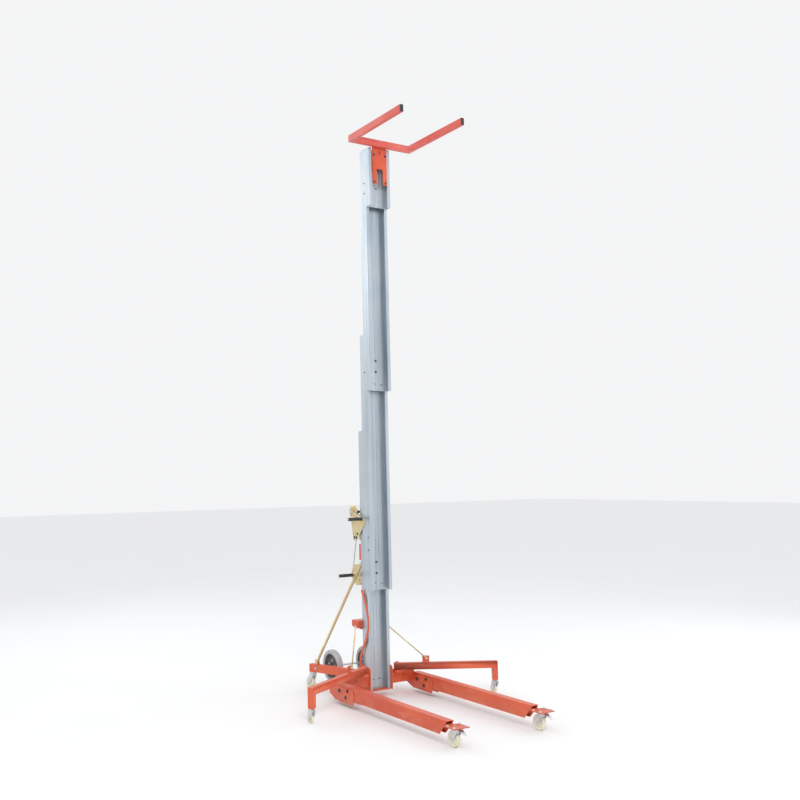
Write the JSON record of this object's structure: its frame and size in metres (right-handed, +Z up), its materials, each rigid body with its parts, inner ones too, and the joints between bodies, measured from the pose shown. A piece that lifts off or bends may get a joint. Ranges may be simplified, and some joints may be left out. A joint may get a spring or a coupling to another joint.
{
  "type": "drywall lift",
  "caption": "Hand-cranked lift: telescoping aluminium mast with a U-shaped load fork on a folding steel base with casters, stabilizer arms and transport wheels.",
  "frame": {"origin": "floor level, at the middle of the overall width and depth", "axes": "+Z up, -Y to the front where the legs and fork point, +X to the lift's right"},
  "size_m": [1.6544, 1.971, 4.209],
  "materials": {
    "orange_paint": "satin",
    "fork_paint": "satin",
    "aluminium": "satin",
    "yellow_zinc": "satin",
    "bright_zinc": "satin",
    "nylon": "matte",
    "grey_rubber": "matte",
    "black_plastic": "matte",
    "dark_steel": "satin",
    "wire_rope": "satin"
  },
  "bodies": {
    "base": {"base_frame": "orange_paint", "knuckle_left": "orange_paint", "knuckle_right": "orange_paint", "leg_pivot_bolt_left": "dark_steel", "leg_pivot_bolt_right": "dark_steel", "rear_arm_left": "orange_paint", "rear_arm_right": "orange_paint", "transport_axle": "bright_zinc", "column_1": "aluminium", "pulley_bracket_1": "bright_zinc", "winch_frame": "yellow_zinc", "handle_bracket": "orange_paint", "handle_grip_left": "black_plastic", "handle_grip_right": "black_plastic", "brace_bracket": "orange_paint", "rear_brace_left": "yellow_zinc", "rear_brace_right": "yellow_zinc", "lift_cable": "wire_rope", "cable_fall": "wire_rope"},
    "column_2_body": {"column_2": "aluminium", "pulley_bracket_2": "bright_zinc"},
    "column_3_body": {"column_3": "aluminium"},
    "carriage_body": {"carriage": "aluminium", "fork_frame": "fork_paint", "fork_hanger": "orange_paint", "fork_cap_left": "black_plastic", "fork_cap_right": "black_plastic"},
    "head_pulley_1_body": {"head_pulley_1": "nylon"},
    "head_pulley_2_body": {"head_pulley_2": "nylon"},
    "lower_sheave_body": {"lower_sheave": "yellow_zinc"},
    "winch_drum_body": {"winch_drum": "bright_zinc"},
    "crank_body": {"pinion_shaft": "dark_steel", "brake_disc": "yellow_zinc", "crank_arm": "yellow_zinc"},
    "crank_grip_body": {"crank_grip": "black_plastic"},
    "hold_down_bar_body": {"hold_down_bar": "orange_paint"},
    "leg_left_body": {"leg_left": "orange_paint"},
    "stabilizer_left_body": {"stabilizer_arm_left": "orange_paint"},
    "stabilizer_brace_left_body": {"stabilizer_brace_left": "yellow_zinc"},
    "front_caster_yoke_left_body": {"front_caster_yoke_left": "bright_zinc"},
    "front_caster_wheel_left_body": {"front_caster_wheel_left": "nylon"},
    "front_caster_brake_left_body": {"front_caster_brake_left": "bright_zinc"},
    "rear_caster_yoke_left_body": {"rear_caster_yoke_left": "bright_zinc"},
    "rear_caster_wheel_left_body": {"rear_caster_wheel_left": "nylon"},
    "stabilizer_caster_yoke_left_body": {"stabilizer_caster_yoke_left": "bright_zinc"},
    "stabilizer_caster_wheel_left_body": {"stabilizer_caster_wheel_left": "nylon"},
    "transport_wheel_left_body": {"transport_hub_left": "dark_steel", "transport_tyre_left": "grey_rubber"},
    "leg_right_body": {"leg_right": "orange_paint"},
    "stabilizer_right_body": {"stabilizer_arm_right": "orange_paint"},
    "stabilizer_brace_right_body": {"stabilizer_brace_right": "yellow_zinc"},
    "front_caster_yoke_right_body": {"front_caster_yoke_right": "bright_zinc"},
    "front_caster_wheel_right_body": {"front_caster_wheel_right": "nylon"},
    "front_caster_brake_right_body": {"front_caster_brake_right": "bright_zinc"},
    "rear_caster_yoke_right_body": {"rear_caster_yoke_right": "bright_zinc"},
    "rear_caster_wheel_right_body": {"rear_caster_wheel_right": "nylon"},
    "stabilizer_caster_yoke_right_body": {"stabilizer_caster_yoke_right": "bright_zinc"},
    "stabilizer_caster_wheel_right_body": {"stabilizer_caster_wheel_right": "nylon"},
    "transport_wheel_right_body": {"transport_hub_right": "dark_steel", "transport_tyre_right": "grey_rubber"}
  },
  "joints": [
    {"name": "column_2_slide", "type": "slide", "parent": "base", "child": "column_2_body", "axis": [0, 0, 1], "range_m": [-0.733, 0.767], "deforming": ["cable_fall"]},
    {"name": "column_3_slide", "type": "slide", "parent": "column_2_body", "child": "column_3_body", "axis": [0, 0, 1], "range_m": [-1.496, 0]},
    {"name": "carriage_slide", "type": "slide", "parent": "column_3_body", "child": "carriage_body", "axis": [0, 0, 1], "range_m": [-1.4, 0]},
    {"name": "head_pulley_1_spin", "type": "hinge", "parent": "base", "child": "head_pulley_1_body", "pos_m": [-0.03, 0.48945, 2.033], "axis": [1, 0, 0], "continuous": true},
    {"name": "head_pulley_2_spin", "type": "hinge", "parent": "column_2_body", "child": "head_pulley_2_body", "pos_m": [0.03, 0.43945, 2.768], "axis": [1, 0, 0], "continuous": true},
    {"name": "winch_drum_spin", "type": "hinge", "parent": "base", "child": "winch_drum_body", "pos_m": [0, 0.5815, 1.295], "axis": [1, 0, 0], "continuous": true},
    {"name": "crank_spin", "type": "hinge", "parent": "base", "child": "crank_body", "pos_m": [0, 0.5815, 1.37], "axis": [1, 0, 0], "continuous": true},
    {"name": "lower_sheave_spin", "type": "hinge", "parent": "base", "child": "lower_sheave_body", "pos_m": [-0.052, 0.6115, 0.89], "axis": [1, 0, 0], "continuous": true},
    {"name": "crank_grip_spin", "type": "hinge", "parent": "crank_body", "child": "crank_grip_body", "pos_m": [-0.18, 0.4415, 1.322], "axis": [1, 0, 0], "continuous": true},
    {"name": "hold_down_bar_swing", "type": "hinge", "parent": "base", "child": "hold_down_bar_body", "pos_m": [-0.1058, 0.5215, 0.213], "axis": [1, 0, 0], "range_deg": [-8, 60]},
    {"name": "leg_left_fold", "type": "hinge", "parent": "base", "child": "leg_left_body", "pos_m": [-0.348, 0.3865, 0.102], "axis": [-1, 0, 0], "range_deg": [0, 90]},
    {"name": "stabilizer_left_swing", "type": "hinge", "parent": "base", "child": "stabilizer_left_body", "pos_m": [-0.15, 0.4115, 0.2], "axis": [0, 0, -1], "range_deg": [0, 82]},
    {"name": "stabilizer_brace_left_lift", "type": "hinge", "parent": "base", "child": "stabilizer_brace_left_body", "pos_m": [-0.136, 0.5335, 0.515], "axis": [-0.7794, 0.6265, 0], "range_deg": [0, 117]},
    {"name": "front_caster_left_swivel", "type": "hinge", "parent": "leg_left_body", "child": "front_caster_yoke_left_body", "pos_m": [-0.348, -0.9035, 0.112], "axis": [0, 0, 1], "continuous": true},
    {"name": "front_caster_left_roll", "type": "hinge", "parent": "front_caster_yoke_left_body", "child": "front_caster_wheel_left_body", "pos_m": [-0.348, -0.8735, 0.05], "axis": [1, 0, 0], "continuous": true},
    {"name": "front_caster_left_pedal", "type": "hinge", "parent": "front_caster_yoke_left_body", "child": "front_caster_brake_left_body", "pos_m": [-0.348, -0.9375, 0.104], "axis": [1, 0, 0], "range_deg": [0, 20]},
    {"name": "rear_caster_left_swivel", "type": "hinge", "parent": "base", "child": "rear_caster_yoke_left_body", "pos_m": [-0.3, 0.9015, 0.1297], "axis": [0, 0, 1], "continuous": true},
    {"name": "rear_caster_left_roll", "type": "hinge", "parent": "rear_caster_yoke_left_body", "child": "rear_caster_wheel_left_body", "pos_m": [-0.3, 0.9355, 0.05], "axis": [1, 0, 0], "continuous": true},
    {"name": "stabilizer_caster_left_swivel", "type": "hinge", "parent": "stabilizer_left_body", "child": "stabilizer_caster_yoke_left_body", "pos_m": [-0.8, 0.0615, 0.088], "axis": [0, 0, 1], "continuous": true},
    {"name": "stabilizer_caster_left_roll", "type": "hinge", "parent": "stabilizer_caster_yoke_left_body", "child": "stabilizer_caster_wheel_left_body", "pos_m": [-0.8, 0.0795, 0.03], "axis": [1, 0, 0], "continuous": true},
    {"name": "transport_wheel_left_roll", "type": "hinge", "parent": "base", "child": "transport_wheel_left_body", "pos_m": [-0.155, 0.8415, 0.175], "axis": [1, 0, 0], "continuous": true},
    {"name": "leg_right_fold", "type": "hinge", "parent": "base", "child": "leg_right_body", "pos_m": [0.348, 0.3865, 0.102], "axis": [-1, 0, 0], "range_deg": [0, 90]},
    {"name": "stabilizer_right_swing", "type": "hinge", "parent": "base", "child": "stabilizer_right_body", "pos_m": [0.15, 0.4115, 0.2], "axis": [0, 0, 1], "range_deg": [0, 82]},
    {"name": "stabilizer_brace_right_lift", "type": "hinge", "parent": "base", "child": "stabilizer_brace_right_body", "pos_m": [0.136, 0.5335, 0.515], "axis": [-0.7794, -0.6265, 0], "range_deg": [0, 117]},
    {"name": "front_caster_right_swivel", "type": "hinge", "parent": "leg_right_body", "child": "front_caster_yoke_right_body", "pos_m": [0.348, -0.9035, 0.112], "axis": [0, 0, 1], "continuous": true},
    {"name": "front_caster_right_roll", "type": "hinge", "parent": "front_caster_yoke_right_body", "child": "front_caster_wheel_right_body", "pos_m": [0.348, -0.8735, 0.05], "axis": [1, 0, 0], "continuous": true},
    {"name": "front_caster_right_pedal", "type": "hinge", "parent": "front_caster_yoke_right_body", "child": "front_caster_brake_right_body", "pos_m": [0.348, -0.9375, 0.104], "axis": [1, 0, 0], "range_deg": [0, 20]},
    {"name": "rear_caster_right_swivel", "type": "hinge", "parent": "base", "child": "rear_caster_yoke_right_body", "pos_m": [0.3, 0.9015, 0.1297], "axis": [0, 0, 1], "continuous": true},
    {"name": "rear_caster_right_roll", "type": "hinge", "parent": "rear_caster_yoke_right_body", "child": "rear_caster_wheel_right_body", "pos_m": [0.3, 0.9355, 0.05], "axis": [1, 0, 0], "continuous": true},
    {"name": "stabilizer_caster_right_swivel", "type": "hinge", "parent": "stabilizer_right_body", "child": "stabilizer_caster_yoke_right_body", "pos_m": [0.8, 0.0615, 0.088], "axis": [0, 0, 1], "continuous": true},
    {"name": "stabilizer_caster_right_roll", "type": "hinge", "parent": "stabilizer_caster_yoke_right_body", "child": "stabilizer_caster_wheel_right_body", "pos_m": [0.8, 0.0795, 0.03], "axis": [1, 0, 0], "continuous": true},
    {"name": "transport_wheel_right_roll", "type": "hinge", "parent": "base", "child": "transport_wheel_right_body", "pos_m": [0.155, 0.8415, 0.175], "axis": [1, 0, 0], "continuous": true}
  ],
  "couplings": [
    {"joint": "carriage_slide", "follows": "column_3_slide", "ratio": 0.93583},
    {"joint": "head_pulley_1_spin", "follows": "column_2_slide", "rad_per_m": -26.954},
    {"joint": "head_pulley_2_spin", "follows": "column_3_slide", "rad_per_m": -26.954},
    {"joint": "winch_drum_spin", "follows": "column_2_slide", "rad_per_m": 30.303},
    {"joint": "crank_spin", "follows": "column_2_slide", "rad_per_m": -123.69},
    {"joint": "lower_sheave_spin", "follows": "column_2_slide", "rad_per_m": 12.98},
    {"joint": "stabilizer_left_swing", "follows": "leg_left_fold", "ratio": 0.91111},
    {"joint": "stabilizer_brace_left_lift", "follows": "leg_left_fold", "ratio": 1.3},
    {"joint": "stabilizer_right_swing", "follows": "leg_right_fold", "ratio": 0.91111},
    {"joint": "stabilizer_brace_right_lift", "follows": "leg_right_fold", "ratio": 1.3}
  ]
}
